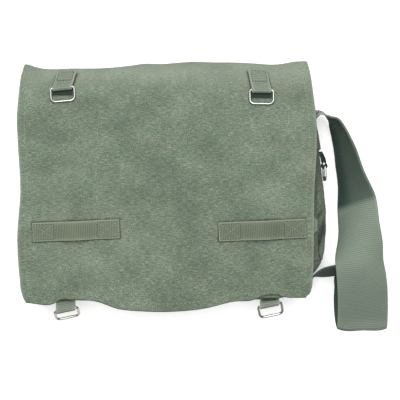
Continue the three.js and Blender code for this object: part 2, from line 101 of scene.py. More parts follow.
# Flap
# The cover of heavy washed cotton canvas, sewn to the back's top edge, rolled over the mouth and laid
# down the whole front. Its three free edges are turned under and sewn down as a hem.
canvas_thickness = 1.6
flap_profile = {
    "y": (-124, -100, -50, 0, 50, 88, 114, 129, 128, 119.6),
    "z": (77, 80, 83.4, 84, 83.2, 79.5, 67, 44, 20, 2.1),
}
flap_sides = {
    "y": (-123, -120, -113, -98, -60, 0, 39, 72, 98, 117, 128),
    "left": (-149.5, -151.4, -154, -155.8, -158.2, -154.6, -157, -158.7, -157.2, -156, -154.5),
    "right": (148.4, 151.8, 154.4, 155.6, 156.5, 157.4, 159.5, 159, 156.2, 154, 152),
}
hem_line = {
    "x": (-148, -119, -113, -98, -73, -52, -28, 1, 41, 72, 93, 100, 117, 126, 146),
    "y": (-124.3, -124.8, -121.6, -121, -122.8, -130, -132.5, -133.6, -129.8, -122.5, -120.7, -117.6,
          -115.8, -118.1, -118.9),
}
top_line = {
    "x": (-151, -138, -93, -54, -40, -25, -10, 22, 51, 87, 125, 139, 150),
    "y": (130.5, 127.2, 126.2, 127.3, 129.3, 131.5, 131, 133, 133, 132, 130.3, 132.6, 133.4),
}
flap_hem_y, flap_crown_y = -124, 129
flap_half_width, flap_droop, droop_fade = 156, 7, 60
hem_fade, roll_fade = 60, 80
body_left, body_right, seam_in = -141, 150, 1


def cubic(knots, values, at):
    """Smooth values between a table's rows, level past its ends."""
    knots, values = np.array(knots, float), np.array(values, float)
    slopes = np.gradient(values, knots)
    at = np.clip(at, knots[0], knots[-1])
    row = np.clip(np.searchsorted(knots, at) - 1, 0, len(knots) - 2)
    span = knots[row + 1] - knots[row]
    share = (at - knots[row]) / span
    rise = values[row + 1] - values[row]
    start_pull = slopes[row] * span - rise
    end_pull = rise - slopes[row + 1] * span
    return values[row] + rise * share + share * (1 - share) * ((1 - share) * start_pull + share * end_pull)


def distances(points):
    """How far along a line of points each one lies."""
    return np.concatenate([[0], np.cumsum(np.linalg.norm(np.diff(points, axis=0), axis=1))])


def smooth_path(points):
    """A close line of points on a smooth curve through a few, how far along it each lies, and between
    which two of the few, as a row number with a fraction."""
    points, close_points = np.array(points, float), 4000
    knots = np.concatenate([[0], np.cumsum(np.linalg.norm(np.diff(points, axis=0), axis=1) ** 0.5)])
    fine = np.linspace(0, knots[-1], close_points)
    line = np.stack([cubic(knots, column, fine) for column in points.T], axis=1)
    return line, distances(line), np.interp(fine, knots, np.arange(len(knots)))


def eased(at, start, end):
    """0 up to one place and 1 past another, with a soft rise between them."""
    share = np.clip((at - start) / (end - start), 0, 1)
    return share * share * (3 - 2 * share)


flap_line, flap_reach, _ = smooth_path(list(zip(flap_profile["y"], flap_profile["z"])))
flap_length = flap_reach[-1]
roll_row = int(np.argmax(flap_line[:, 0]))
flap_roll = flap_reach[roll_row]


def flap_reach_at(y):
    """How far up the flap from its hem, along the cloth, a place on the bag's front lies."""
    return np.interp(y, flap_line[:roll_row, 0], flap_reach[:roll_row])


def flap_middle(x, reach):
    """A point in the middle of the flap's thickness, before it is dented."""
    y = np.interp(reach, flap_reach, flap_line[:, 0])
    z = np.interp(reach, flap_reach, flap_line[:, 1])
    at_hem = (1 - eased(y, flap_hem_y, flap_hem_y + hem_fade)) * (reach < flap_roll)
    at_roll = eased(reach, flap_roll - roll_fade, flap_roll) * (1 - eased(reach, flap_roll, flap_length))
    hem = (cubic(hem_line["x"], hem_line["y"], x) - flap_hem_y) * at_hem
    top = (cubic(top_line["x"], top_line["y"], x) - flap_crown_y) * at_roll
    droop = flap_droop * (x / flap_half_width) ** 2 * eased(z, 0, droop_fade)
    return np.stack([x, y + hem + top, z - droop], axis=-1)


def flap_face(x, reach):
    """The way the flap faces at each place."""
    step_across, step_up = 1, 0.8
    inside = np.clip(reach, step_up, flap_length - step_up)
    across = flap_middle(x + step_across, inside) - flap_middle(x - step_across, inside)
    upward = flap_middle(x, inside + step_up) - flap_middle(x, inside - step_up)
    face = np.cross(across, upward)
    return face / np.linalg.norm(face, axis=-1, keepdims=True)


def flap_edge(side, reach):
    """X of the flap's left or right edge, which meets the body's seam behind the roll."""
    edge = cubic(flap_sides["y"], flap_sides[side], np.interp(reach, flap_reach, flap_line[:, 0]))
    seam = body_left + seam_in if side == "left" else body_right - seam_in
    return edge + (seam - edge) * eased(reach, flap_roll, flap_length)


def rumple(points, size, seed):
    """Smooth random height, about -1 to 1, at each point of a flat cut, with dents of about that size."""
    flat = points.reshape(-1, 2) / size
    layer = seed * 7.3
    heights = [noise.noise(Vector((u, v, layer))) for u, v in flat]
    return np.array(heights).reshape(points.shape[:-1])


# The tabs and loops press the flap, so their places are here: side, x and y of a tab's bar, its turn in
# degrees and how far its sewn end leans; side, x and y of a loop, and how much dark dye it has kept.
flap_tabs = (("left", -110.3, 103.7, 5.4, 4), ("right", 100.8, 99.85, 0.4, -4))
tab_width, tab_length, fold_shade = 20.6, 25, 7
lash_loops = (("left", -95.4, -47, 0.0), ("right", 101.5, -46.5, 0.12))
loop_length, loop_width, loop_tilt = 92.5, 20.4, math.radians(2.5)
shaded_length = tab_length + fold_shade
press_depth, press_fade = 0.6, 1.3

# Height, breadth and seed of the dents, and middle, turn in degrees, half length, half breadth and depth
# of the folds.
flap_rumples = ((1.3, 75, 1), (1.2, 32, 2), (0.16, 9, 3))
soft_folds = (
    (69, -7, 38, 20, 6, 1.3), (-121, 54, 20, 16, 11, 2.0), (-11, 50, -50, 16, 5, 0.9),
    (-95, -27, 90, 10, 5, 1.0), (20, -92, 35, 22, 5, 0.9), (66, -88, -40, 18, 5, 0.8),
    (-30, 84, 10, 20, 6, 0.9),
)
flat_margin, flat_fade = 3, 18


def beyond(u, v, half_u, half_v):
    """How far a point lies outside a rectangle about the origin, less than nothing inside it."""
    past_u, past_v = np.abs(u) - half_u, np.abs(v) - half_v
    outside = np.hypot(np.clip(past_u, 0, None), np.clip(past_v, 0, None))
    return outside + np.clip(np.maximum(past_u, past_v), None, 0)


def flap_dents(x, reach):
    """The low dents and folds that lying folded has left in the flap, flat where its tabs are sewn."""
    cut = np.stack([x, reach], axis=-1)
    dents = sum(height * rumple(cut, breadth, seed) for height, breadth, seed in flap_rumples)
    for fold_x, fold_y, turn, half_length, half_breadth, depth in soft_folds:
        cos, sin = math.cos(math.radians(turn)), math.sin(math.radians(turn))
        right, up = x - fold_x, reach - flap_reach_at(fold_y)
        run, off = right * cos + up * sin, up * cos - right * sin
        dents = dents - depth * np.exp(-(run / half_length) ** 2 - (off / half_breadth) ** 2)
    for _, tab_x, bar_y, _, _ in flap_tabs:
        up = reach - flap_reach_at(bar_y) - tab_length / 2
        away = beyond(x - tab_x, up, tab_width / 2 + flat_margin, tab_length / 2 + flat_margin)
        dents = dents * (1 - np.exp(-(np.clip(away, 0, None) / flat_fade) ** 2))
    return dents


def flap_point(x, reach, lift):
    """A point lifted square off the middle of the dented flap."""
    lifted = flap_dents(x, reach) + lift
    return flap_middle(x, reach) + flap_face(x, reach) * lifted[..., None]


def pressed(gap):
    """How hard sewn webbing presses the flap, by how far off the webbing is."""
    return np.where(gap < 0, 1, np.exp(-(gap / press_fade) ** 2))


def under_loops(x, reach):
    """Where the flap lies under its lash loops."""
    y = np.interp(reach, flap_reach[:roll_row], flap_line[:roll_row, 0])
    share = np.zeros_like(x)
    for _, loop_x, loop_y, _ in lash_loops:
        run = (x - loop_x) * math.cos(loop_tilt) + (y - loop_y) * math.sin(loop_tilt)
        across = (y - loop_y) * math.cos(loop_tilt) - (x - loop_x) * math.sin(loop_tilt)
        share = np.maximum(share, pressed(beyond(run, across, loop_length / 2, loop_width / 2)))
    return share


def under_tabs(x, reach):
    """Where the flap lies under its tabs and in the shade of their folds."""
    share = np.zeros_like(x)
    for _, tab_x, bar_y, _, lean in flap_tabs:
        out = flap_reach_at(bar_y) + tab_length - reach
        across = x - tab_x - lean * np.clip(1 - out / tab_length, 0, 1)
        gap = beyond(out - shaded_length / 2, across, shaded_length / 2, tab_width / 2)
        share = np.maximum(share, pressed(gap))
    return share


def close_lines(length, spans, fine, coarse):
    """Grid lines over a length, close together over some spans of it."""
    lines = [0.0]
    while lines[-1] < length - fine / 2:
        close = any(start <= lines[-1] <= end for start, end in spans)
        ahead = min([start - lines[-1] for start, _ in spans if start > lines[-1]], default=coarse)
        lines.append(lines[-1] + (fine if close else max(fine, min(coarse, ahead))))
    return np.array(lines) * length / lines[-1]


# How far the paleness of edge wear reaches in from a cut edge, in millimetres. The attribute of this name
# also carries painted light.
edge_wear_and_light, edge_round = 1.4, 0.8


def cloth_piece(name, middle, upper, lower, cut, material, kept_dye_and_shade=0.0, pale_wear_and_light=0.0, frayed=1.0):
    """A closed cloth mesh on a grid of points, with its upper and lower face that far from them.

    The edge is rounded, and cut is where each point lies on the flat cloth, kept as the UV map in metres.
    The darkening each point carries is painted shade, and on a lash loop a first dark dye that never faded.
    The paleness passed in is painted light, kept with the edge wear. Frayed is how worn its edge is.
    """
    rows, columns = middle.shape[:2]
    down, along = np.gradient(middle, axis=0), np.gradient(middle, axis=1)
    face = np.cross(along, down)
    face /= np.linalg.norm(face, axis=-1, keepdims=True)
    upper = np.broadcast_to(upper, (rows, columns))[..., None]
    lower = np.broadcast_to(lower, (rows, columns))[..., None]
    index = np.arange(rows * columns).reshape(rows, columns)
    loop = np.concatenate([index[0, :-1], index[:-1, -1], index[-1, :0:-1], index[:0:-1, 0]])
    outward = np.zeros_like(middle)
    outward[0] -= down[0]
    outward[-1] += down[-1]
    outward[:, 0] -= along[:, 0]
    outward[:, -1] += along[:, -1]
    outward = outward.reshape(-1, 3)[loop]
    outward /= np.linalg.norm(outward, axis=-1, keepdims=True)
    thick = ((upper + lower) / 2).reshape(-1, 1)[loop]
    over, under_side = (middle + face * upper).reshape(-1, 3), (middle - face * lower).reshape(-1, 3)
    rim_points = (over[loop] + under_side[loop]) / 2
    over[loop] -= outward * thick * edge_round
    under_side[loop] -= outward * thick * edge_round
    points = np.concatenate([over, under_side, rim_points]) * MM
    quads = np.stack([index[:-1, :-1], index[:-1, 1:], index[1:, 1:], index[1:, :-1]], axis=-1)
    quads = quads.reshape(-1, 4)
    under = rows * columns
    rim = 2 * under + np.arange(len(loop))
    next_loop, next_rim = np.roll(loop, -1), np.roll(rim, -1)
    faces = np.concatenate([
        quads,
        quads[:, ::-1] + under,
        np.stack([loop, rim, next_rim, next_loop], axis=1),
        np.stack([rim, loop + under, next_loop + under, next_rim], axis=1),
    ])
    mesh = bpy.data.meshes.new(name)
    mesh.from_pydata(points.tolist(), [], faces.tolist())
    flat = cut.reshape(-1, 2) * MM
    flat = np.concatenate([flat, flat, flat[loop]])
    corners = np.empty(len(mesh.loops), dtype=int)
    mesh.loops.foreach_get("vertex_index", corners)
    mesh.uv_layers.new(name="cut").data.foreach_set("uv", flat[corners].ravel())
    ends = (cut[:1], cut[-1:], cut[:, :1], cut[:, -1:])
    to_edge = np.min([np.linalg.norm(cut - end, axis=-1) for end in ends], axis=0)
    paleness_from_wear_and_light = np.maximum(np.exp(-to_edge / edge_wear_and_light) * frayed, pale_wear_and_light).ravel()
    paleness_from_wear_and_light = np.concatenate([paleness_from_wear_and_light, paleness_from_wear_and_light, paleness_from_wear_and_light[loop]])
    mesh.attributes.new("edge_wear_and_light", "FLOAT", "POINT").data.foreach_set("value", paleness_from_wear_and_light)
    shade_and_dye = np.broadcast_to(kept_dye_and_shade, (rows, columns)).ravel()
    shade_and_dye = np.concatenate([shade_and_dye, shade_and_dye, shade_and_dye[loop]])
    mesh.attributes.new("kept_dye_and_shade", "FLOAT", "POINT").data.foreach_set("value", shade_and_dye)
    mesh.shade_smooth()
    mesh.materials.append(material)
    piece = bpy.data.objects.new(name, mesh)
    bpy.context.scene.collection.objects.link(piece)
    return piece


def add_node(material, kind, inputs=None, colours=(), **settings):
    """Adds a node with its settings and a ramp's colours by place, and sets or links its inputs."""
    node = material.node_tree.nodes.new(kind)
    for name, value in settings.items():
        setattr(node, name, value)
    if colours:
        marks = node.color_ramp.elements
        for mark, (place, colour) in zip(marks, (colours[0], colours[-1])):
            mark.position, mark.color = place, linear(colour)
        for place, colour in colours[1:-1]:
            marks.new(place).color = linear(colour)
    for name, value in (inputs or {}).items():
        if isinstance(value, bpy.types.NodeSocket):
            material.node_tree.links.new(value, node.inputs[name])
        else:
            node.inputs[name].default_value = value
    return node


# Washed cotton canvas, plain woven: matt, a little fuzzy, olive in some places and greener in others,
# with short pale and dark threads that run mostly across it, paler where its edges have rubbed and where
# light is painted on, and darker where shade is painted on.
# The real threads, about half a millimetre wide, are too fine to show and are drawn coarser here.
canvas, canvas_shader = new_material("washed_cotton_canvas")
cut_map = add_node(canvas, "ShaderNodeUVMap", uv_map="cut").outputs["UV"]


def cloth_spots(material, place, across, along, detail=2.0):
    """Random spots of a given size in millimetres across and along the cloth."""
    sized = add_node(material, "ShaderNodeMapping", {
        "Vector": place, "Scale": (1000 / across, 1000 / along, 1)})
    spots = add_node(material, "ShaderNodeTexNoise", {
        "Vector": sized.outputs["Vector"], "Scale": 1.0, "Detail": detail, "Roughness": 0.6})
    return spots.outputs["Fac"]


def paler_by_wear_and_light(material, place, colour, pale):
    """The cloth's colour, paler at its rubbed edges and where light is painted on, and on some threads
    more.
    """
    edge = add_node(material, "ShaderNodeAttribute", attribute_name="edge_wear_and_light")
    threads = cloth_spots(material, place, across=2.4, along=1.6, detail=3.0)
    worn = add_node(material, "ShaderNodeMath", {0: edge.outputs["Fac"], 1: threads}, operation="MULTIPLY")
    return add_node(material, "ShaderNodeMixRGB", {
        "Fac": worn.outputs["Value"], "Color1": colour, "Color2": linear(pale)}).outputs["Color"]


def with_dye_and_painted_shade(material, colour, shade_and_dye):
    """The cloth's colour, darker with painted shade, and on a lash loop with a first dye that never faded.
    """
    kept = add_node(material, "ShaderNodeAttribute", attribute_name="kept_dye_and_shade")
    return add_node(material, "ShaderNodeMixRGB", {
        "Fac": kept.outputs["Fac"], "Color1": colour, "Color2": linear(shade_and_dye)}).outputs["Color"]


weft = cloth_spots(canvas, cut_map, across=5.5, along=0.9)
warp = cloth_spots(canvas, cut_map, across=1.0, along=2.6)
weave = add_node(canvas, "ShaderNodeMix", {"Factor": 0.4, "A": weft, "B": warp})
slubs = cloth_spots(canvas, cut_map, across=1.2, along=1.2, detail=3.0)
threads = add_node(canvas, "ShaderNodeMix", {"Factor": 0.35, "A": weave.outputs["Result"], "B": slubs})
patches = cloth_spots(canvas, cut_map, across=34, along=26, detail=3.0)
shade = add_node(canvas, "ShaderNodeMix", {"Factor": 0.16, "A": threads.outputs["Result"], "B": patches})
olive = add_node(canvas, "ShaderNodeValToRGB", {"Fac": shade.outputs["Result"]},
                 ((0.34, "#3d4338"), (0.5, "#656e5d"), (0.66, "#97a08e")))
green = add_node(canvas, "ShaderNodeValToRGB", {"Fac": shade.outputs["Result"]},
                 ((0.34, "#3a4439"), (0.5, "#616e5e"), (0.66, "#94a18f")))
hue_spots = cloth_spots(canvas, cut_map, across=30, along=20)
turn_green = add_node(canvas, "ShaderNodeValToRGB", {"Fac": hue_spots},
                      ((0.2, "#000000"), (0.62, "#ffffff")))
cloth_colour = add_node(canvas, "ShaderNodeMixRGB", {
    "Fac": turn_green.outputs["Color"], "Color1": olive.outputs["Color"], "Color2": green.outputs["Color"]})
cloth_colour = paler_by_wear_and_light(canvas, cut_map, cloth_colour.outputs["Color"], "#a3ac9c")
cloth_colour = with_dye_and_painted_shade(canvas, cloth_colour, "#232b25")
weave_bump = add_node(canvas, "ShaderNodeBump", {
    "Height": threads.outputs["Result"], "Strength": 0.45, "Distance": 0.7 * MM})
canvas.node_tree.links.new(cloth_colour, canvas_shader.inputs["Base Color"])
canvas.node_tree.links.new(weave_bump.outputs["Normal"], canvas_shader.inputs["Normal"])
canvas_shader.inputs["Roughness"].default_value = 0.93
canvas_shader.inputs["Specular IOR Level"].default_value = 0.2
canvas_shader.inputs["Sheen Weight"].default_value = 0.08

flap_cut_width, flap_flat_width, edge_margin = 2 * flap_half_width, 315, 14
hem_width, hem_stitch_in = 9, 8.2
hem_step_starts, hem_step_ends = hem_width - 0.8, hem_width + 1.2
hem_over, hem_under = 0.35, 0.5
ripple_height, ripple_size, ripple_stretch, ripple_fade = 0.45, 22, 2.5, 16
thread_pull, pull_breadth = 0.45, 1.3
half_canvas = canvas_thickness / 2


def hem_shape(x, reach):
    """How far the rippled hem stands off the flap's middle, how thick its upper side is, and how much of
    it is folded under."""
    from_edge = np.minimum(x - flap_edge("left", reach), flap_edge("right", reach) - x)
    from_edge = np.minimum(from_edge, reach)
    waves = rumple(np.stack([x, ripple_stretch * reach], axis=-1), ripple_size, 4)
    ripple = ripple_height * waves * np.exp(-from_edge / ripple_fade)
    folded = 1 - eased(from_edge, hem_step_starts, hem_step_ends)
    sewn_in = thread_pull * np.exp(-((from_edge - hem_stitch_in) / pull_breadth) ** 2)
    return ripple, half_canvas + hem_over * folded - sewn_in, folded


# The flap's grid lines lie close together at its edges and where webbing is sewn on.
end_margin, tilt_margin, ring_margin, sewn_margin = 4, 5, 10, 3
close_gap, open_gap = 1.0, 2.6
close_columns = [(0, edge_margin), (flap_cut_width - edge_margin, flap_cut_width)]
close_rows = [(0, edge_margin), (flap_length - edge_margin, flap_length)]
webbing_ends = []
for _, loop_x, loop_y, _ in lash_loops:
    webbing_ends += [loop_x - loop_length / 2, loop_x + loop_length / 2]
    for edge in (loop_y - loop_width / 2, loop_y + loop_width / 2):
        close_rows.append((flap_reach_at(edge) - tilt_margin, flap_reach_at(edge) + tilt_margin))
for _, tab_x, bar_y, _, _ in flap_tabs:
    webbing_ends += [tab_x - tab_width / 2, tab_x + tab_width / 2]
    close_rows.append((flap_reach_at(bar_y) - ring_margin, flap_reach_at(bar_y) + tab_length + sewn_margin))
for end in webbing_ends:
    close_columns.append((end + flap_half_width - end_margin, end + flap_half_width + end_margin))
shares = close_lines(flap_cut_width, close_columns, close_gap, open_gap) / flap_cut_width
reaches = close_lines(flap_length, close_rows, close_gap, open_gap)
reach_grid, share_grid = np.meshgrid(reaches, shares, indexing="ij")
left_edge, right_edge = flap_edge("left", reach_grid), flap_edge("right", reach_grid)
flap_x = left_edge + (right_edge - left_edge) * share_grid
flap_cut = np.stack([flap_x, reach_grid], axis=-1)
ripple, flap_upper, folded = hem_shape(flap_x, reach_grid)
by_loops, by_tabs = under_loops(flap_x, reach_grid), under_tabs(flap_x, reach_grid)
flap_grid = flap_point(flap_x, reach_grid, ripple - press_depth * np.maximum(by_loops, by_tabs))

# Painted shade: the cloth is darkened under and around the lash loops and tabs, in the shade of the tabs'
# folds, along the hem's lower edge and a little in the dents. Painted light: it is made paler before the
# roll, where light falls on it, and on the ridges between dents.
loop_painted_shade, loop_shade_spots, spot_size, tab_fold_painted_shadow = 0.72, 0.4, 7, 0.95
hem_painted_shade, hem_shade_fade, hem_fray_fade = 0.7, 0.7, 6
dent_painted_shade, ridge_painted_light, full_dent = 0.16, 0.22, 1.4
roll_painted_light, before_roll, roll_breadth = 0.62, 25, 22
dents = flap_dents(flap_x, reach_grid)
flap_painted_shade = by_loops * (loop_painted_shade + loop_shade_spots * rumple(flap_cut, spot_size, 8))
for shade_and_dye in (tab_fold_painted_shadow * by_tabs, hem_painted_shade * np.exp(-reach_grid / hem_shade_fade),
            dent_painted_shade * np.clip(-dents / full_dent, 0, 1)):
    flap_painted_shade = np.maximum(flap_painted_shade, shade_and_dye)
pale_wear_and_light = roll_painted_light * np.exp(-((reach_grid - flap_roll + before_roll) / roll_breadth) ** 2)
pale_wear_and_light = np.maximum(pale_wear_and_light, ridge_painted_light * np.clip(dents / full_dent, 0, 1))
flap = cloth_piece("canvas_flap", flap_grid, flap_upper, half_canvas + hem_under * folded, flap_cut, canvas,
                   flap_painted_shade, pale_wear_and_light, frayed=1 - np.exp(-reach_grid / hem_fray_fade))
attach(flap, "bag")
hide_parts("flap")

# Cotton sewing thread, spun and matt, a little paler than the cloth
pale_thread, pale_shader = new_material("pale_cotton_thread")
pale_shader.inputs["Base Color"].default_value = linear("#8b957f")
pale_shader.inputs["Roughness"].default_value = 0.85


def stitches(name, lines, thread, pitch=3.0, length=2.0, width=0.8):
    """Humps of sewing thread along lines of points, all in one mesh."""
    shares = np.array((0, 0.15, 0.5, 0.85, 1.0))
    radii = np.array((0.3, 0.9, 1, 0.9, 0.3)) * width / 2
    lifts = np.array((-0.3, 0.1, 0.25, 0.1, -0.3))
    turns = np.radians((0, 72, 144, 216, 288))
    near = 0.3
    points, faces = [], []
    for line, face in lines:
        reach = distances(line)
        starts = np.arange(pitch / 4, reach[-1] - length, pitch)
        at = (starts[:, None] + shares * length).ravel()
        middle = np.stack([np.interp(at, reach, column) for column in line.T], axis=1)
        up = np.stack([np.interp(at, reach, column) for column in face.T], axis=1)
        ahead = np.stack([np.interp(at + near, reach, column) for column in line.T], axis=1)
        behind = np.stack([np.interp(at - near, reach, column) for column in line.T], axis=1)
        side = np.cross(ahead - behind, up)
        side /= np.linalg.norm(side, axis=1, keepdims=True)
        middle = middle + up * np.tile(lifts, len(starts))[:, None]
        radius = np.tile(radii, len(starts))[:, None, None]
        ring = side[:, None, :] * np.cos(turns)[:, None] + up[:, None, :] * np.sin(turns)[:, None]
        first = sum(len(placed) for placed in points)
        points.append((middle[:, None, :] + ring * radius).reshape(-1, 3))
        sides, rings = len(turns), len(shares)
        for stitch in range(len(starts)):
            base = first + stitch * sides * rings
            for row in range(base, base + (rings - 1) * sides, sides):
                for column in range(sides):
                    here, beside = row + column, row + (column + 1) % sides
                    faces.append((here, here + sides, beside + sides, beside))
            faces.append(tuple(base + column for column in range(sides)))
            faces.append(tuple(base + (rings - 1) * sides + column for column in reversed(range(sides))))
    mesh = bpy.data.meshes.new(name)
    mesh.from_pydata((np.concatenate(points) * MM).tolist(), [], faces)
    mesh.shade_smooth()
    mesh.materials.append(thread)
    piece = bpy.data.objects.new(name, mesh)
    bpy.context.scene.collection.objects.link(piece)
    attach(piece, "bag")


past_roll, point_gap = 25, 0.5
side_reach = np.arange(hem_stitch_in, flap_roll + past_roll, point_gap)
left_x = flap_edge("left", side_reach) + hem_stitch_in
right_x = flap_edge("right", side_reach) - hem_stitch_in
hem_x = np.arange(left_x[0], right_x[0], point_gap)
hem_lines = []
for x, reach in ((left_x, side_reach), (right_x, side_reach), (hem_x, np.full_like(hem_x, hem_stitch_in))):
    ripple, upper, _ = hem_shape(x, reach)
    hem_lines.append((flap_point(x, reach, ripple + upper), flap_face(x, reach)))
stitches("flap_hem_stitches", hem_lines, pale_thread, pitch=4.6, length=2.6, width=0.8)

# Body panels
# Back, front and the three gusset lengths, cut from the same canvas and sewn edge to edge. The front
# panel's seam allowance stands out as a narrow lip, and the side walls bulge and fold.
body_bottom, body_corner = -116, 36
front_top, gusset_top, back_top = 106, 112, 121
flap_to_front, front_sink, front_gap, back_gap = 3.2, 0.3, 0.2, 0.1
seam_lip, side_lip, lip_starts, lip_ends = 2.2, 8.5, (-56, -46), (-37, -29)
back_margin, back_rumple, back_rumple_size = 1.5, 0.25, 30
corner_rows, side_rows, panel_columns, panel_fray = 22, 70, 110, 0.4
gusset_bulge = {
    "along": (0, 46, 76, 112, 152, 180, 191, 199, 208, 222, 240, 358, 520, 640, 716),
    "bulge": (3.5, 9, 13.8, 18, 21, 19.5, 17, 12, 6.5, 1.5, 1, 2.5, 1.5, 3, 2),
}
side_run = gusset_top - body_bottom - body_corner
corner_run = math.pi / 2 * body_corner
bottom_run = body_right - body_left - 2 * body_corner
gusset_run = 2 * side_run + 2 * corner_run + bottom_run


def front_height(x, y):
    """Height of the front panel's middle, a little under the flap."""
    return flap_middle(x, flap_reach_at(y))[..., 2] - flap_to_front


def corner_inset(y, bottom, corner):
    """How far the round bottom corners draw the outline in."""
    below = np.clip(bottom + corner - y, 0, corner)
    return corner - np.sqrt(corner ** 2 - below ** 2)


def panel_grid(top, margin, lip=0):
    """X and Y of a grid over the body's outline, grown by a margin, with close rows at its round corners.

    A lip stands out of its right edge beside the lash loop.
    """
    bottom, corner = body_bottom - margin, body_corner + margin
    turns = np.radians(np.linspace(0, 90, corner_rows))
    round_y = bottom + corner * (1 - np.cos(turns))
    y = np.concatenate([round_y, np.linspace(bottom + corner, top, side_rows)[1:]])
    inset = corner_inset(y, bottom, corner)
    left, right = body_left - margin + inset, body_right + margin - inset
    right = right + lip * eased(y, *lip_starts) * (1 - eased(y, *lip_ends))
    share = np.linspace(0, 1, panel_columns)
    x = left[:, None] + (right - left)[:, None] * share
    return x, np.broadcast_to(y[:, None], x.shape)


front_x, front_y = panel_grid(front_top, seam_lip, side_lip)
front_cut = np.stack([front_x, front_y], axis=-1)
front_z = front_height(front_x, front_y) + flap_dents(front_x, flap_reach_at(front_y)) - front_sink
front_grid = np.stack([front_x, front_y, front_z], axis=-1)
front = cloth_piece("canvas_front", front_grid, half_canvas, half_canvas, front_cut, canvas,
                    frayed=panel_fray)

back_x, back_y = panel_grid(back_top, back_margin)
back_cut = np.stack([back_x, back_y], axis=-1)
back_z = half_canvas + back_rumple * (1 + rumple(back_cut, back_rumple_size, 5))
back_grid = np.stack([back_x, back_y, back_z], axis=-1)
back = cloth_piece("canvas_back", back_grid, half_canvas, half_canvas, back_cut, canvas,
                   frayed=panel_fray)


def seam_line(along):
    """Place of the gusset's seam in plan, and the way out of the bag there."""
    along = np.asarray(along, float)
    turn_right = np.clip((along - side_run) / body_corner, 0, math.pi / 2)
    turn_left = np.clip((along - side_run - corner_run - bottom_run) / body_corner, 0, math.pi / 2)
    angle = -turn_right - turn_left
    out = np.stack([np.cos(angle), np.sin(angle)], axis=-1)
    on_bottom = np.clip(along - side_run - corner_run, 0, bottom_run)
    down_right = np.minimum(along, side_run)
    up_left = np.clip(along - side_run - 2 * corner_run - bottom_run, 0, None)
    centre_x = body_right - body_corner - on_bottom
    centre_y = gusset_top - down_right + up_left
    return np.stack([centre_x, centre_y], axis=-1) + out * body_corner, out


def gusset_ends(along):
    """Heights of the gusset's lower and upper seam."""
    place, _ = seam_line(along)
    top = front_height(place[..., 0], place[..., 1]) - half_canvas - front_gap
    return canvas_thickness + back_gap, top


def gusset_point(along, z, lift=0.0):
    """A point on the gusset's middle, lifted straight out from the bag."""
    place, out = seam_line(along)
    low, high = gusset_ends(along)
    depth = (z - low) / (high - low)
    bulge = 4 * depth * (1 - depth) * cubic(gusset_bulge["along"], gusset_bulge["bulge"], along)
    flat = place + out * np.asarray(bulge + lift)[..., None]
    return np.concatenate([flat, np.broadcast_to(z, flat.shape[:-1])[..., None]], axis=-1)


# Sizes of the walls' folds along and up, fades of the creases and of the folds at a wall's ends, how
# creases waver, and how calm the right wall stays where the strap and the side tab are sewn on.
long_folds, short_folds, short_share = (60, 11), (18, 12), 0.5
crease_fade, wall_fade, crease_sharp, seam_sharp = 14, 12, 1.3, 8
crease_waver, waver_length = 1.5, 17
calm_share, calm_ends = 0.2, (92, 112)
wall_step, wall_rows = 2, 110


def gusset_piece(name, start, end, folds, creases=()):
    """One length of the gusset, with folds of that depth and with creases darkened by painted shade."""
    steps = np.linspace(start, end, round((end - start) / wall_step))
    along, share = np.meshgrid(steps, np.linspace(0, 1, wall_rows))
    low, high = gusset_ends(along)
    z = low + (high - low) * share
    cut = np.stack([along, z], axis=-1)
    waves = folds * rumple(cut / long_folds, 1, 6)
    waves = waves + short_share * folds * rumple(cut / short_folds, 1, 7)
    kept_dye_and_shade = np.zeros_like(z)
    # Painted shade: the cloth is darkened along each crease.
    for height, first, last, depth, breadth, shade_and_dye in creases:
        run = eased(along, first, first + crease_fade) * (1 - eased(along, last - crease_fade, last))
        middle = height + crease_waver * np.sin(along / waver_length + height)
        from_crease = np.abs(z - middle) / breadth
        waves -= depth * run * np.exp(-from_crease ** crease_sharp)
        kept_dye_and_shade = np.maximum(kept_dye_and_shade, shade_and_dye * run * np.exp(-(2 * from_crease) ** 2))
    calm = calm_share + (1 - calm_share) * eased(along, *calm_ends)
    waves *= np.where(along < side_run, calm, 1)
    pinned = 1 - (2 * share - 1) ** seam_sharp
    waves *= eased(along, start, start + wall_fade) * (1 - eased(along, end - wall_fade, end))
    middle = gusset_point(along, z, waves * pinned)
    return cloth_piece(name, middle, half_canvas, half_canvas, cut, canvas, kept_dye_and_shade * pinned, frayed=0)


# Height, first and last place along the wall, depth, breadth and painted shade of each crease; rows with
# no depth are painted shade alone, one of them for the shade beside the flap's edge
wall_creases = (
    (50, 136, 206, 13, 5, 0.8), (46, 140, 206, 0, 4, 0.85), (71, 10, 206, 0, 5, 0.6),
    (67, 136, 196, -4.5, 4, 0), (61, 112, 190, 3, 2.2, 0.7),
)
right_cut, bottom_cut, left_cut = 82, 76, 80
gusset_right = gusset_piece("canvas_gusset_right", 0, side_run, folds=2.0, creases=wall_creases)
gusset_bottom = gusset_piece("canvas_gusset_bottom", side_run, gusset_run - side_run, folds=0.6)
gusset_left = gusset_piece("canvas_gusset_left", gusset_run - side_run, gusset_run, folds=0.9)
for piece, node, flat in (
    (front, "front_panel", (body_right - body_left, front_top - body_bottom)),
    (back, "back_panel", (body_right - body_left, back_top - body_bottom)),
    (gusset_right, "gusset_right", (right_cut, side_run)),
    (gusset_bottom, "gusset_bottom", (bottom_cut, gusset_run - 2 * side_run)),
    (gusset_left, "gusset_left", (left_cut, side_run)),
):
    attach(piece, "bag")
    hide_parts(node)

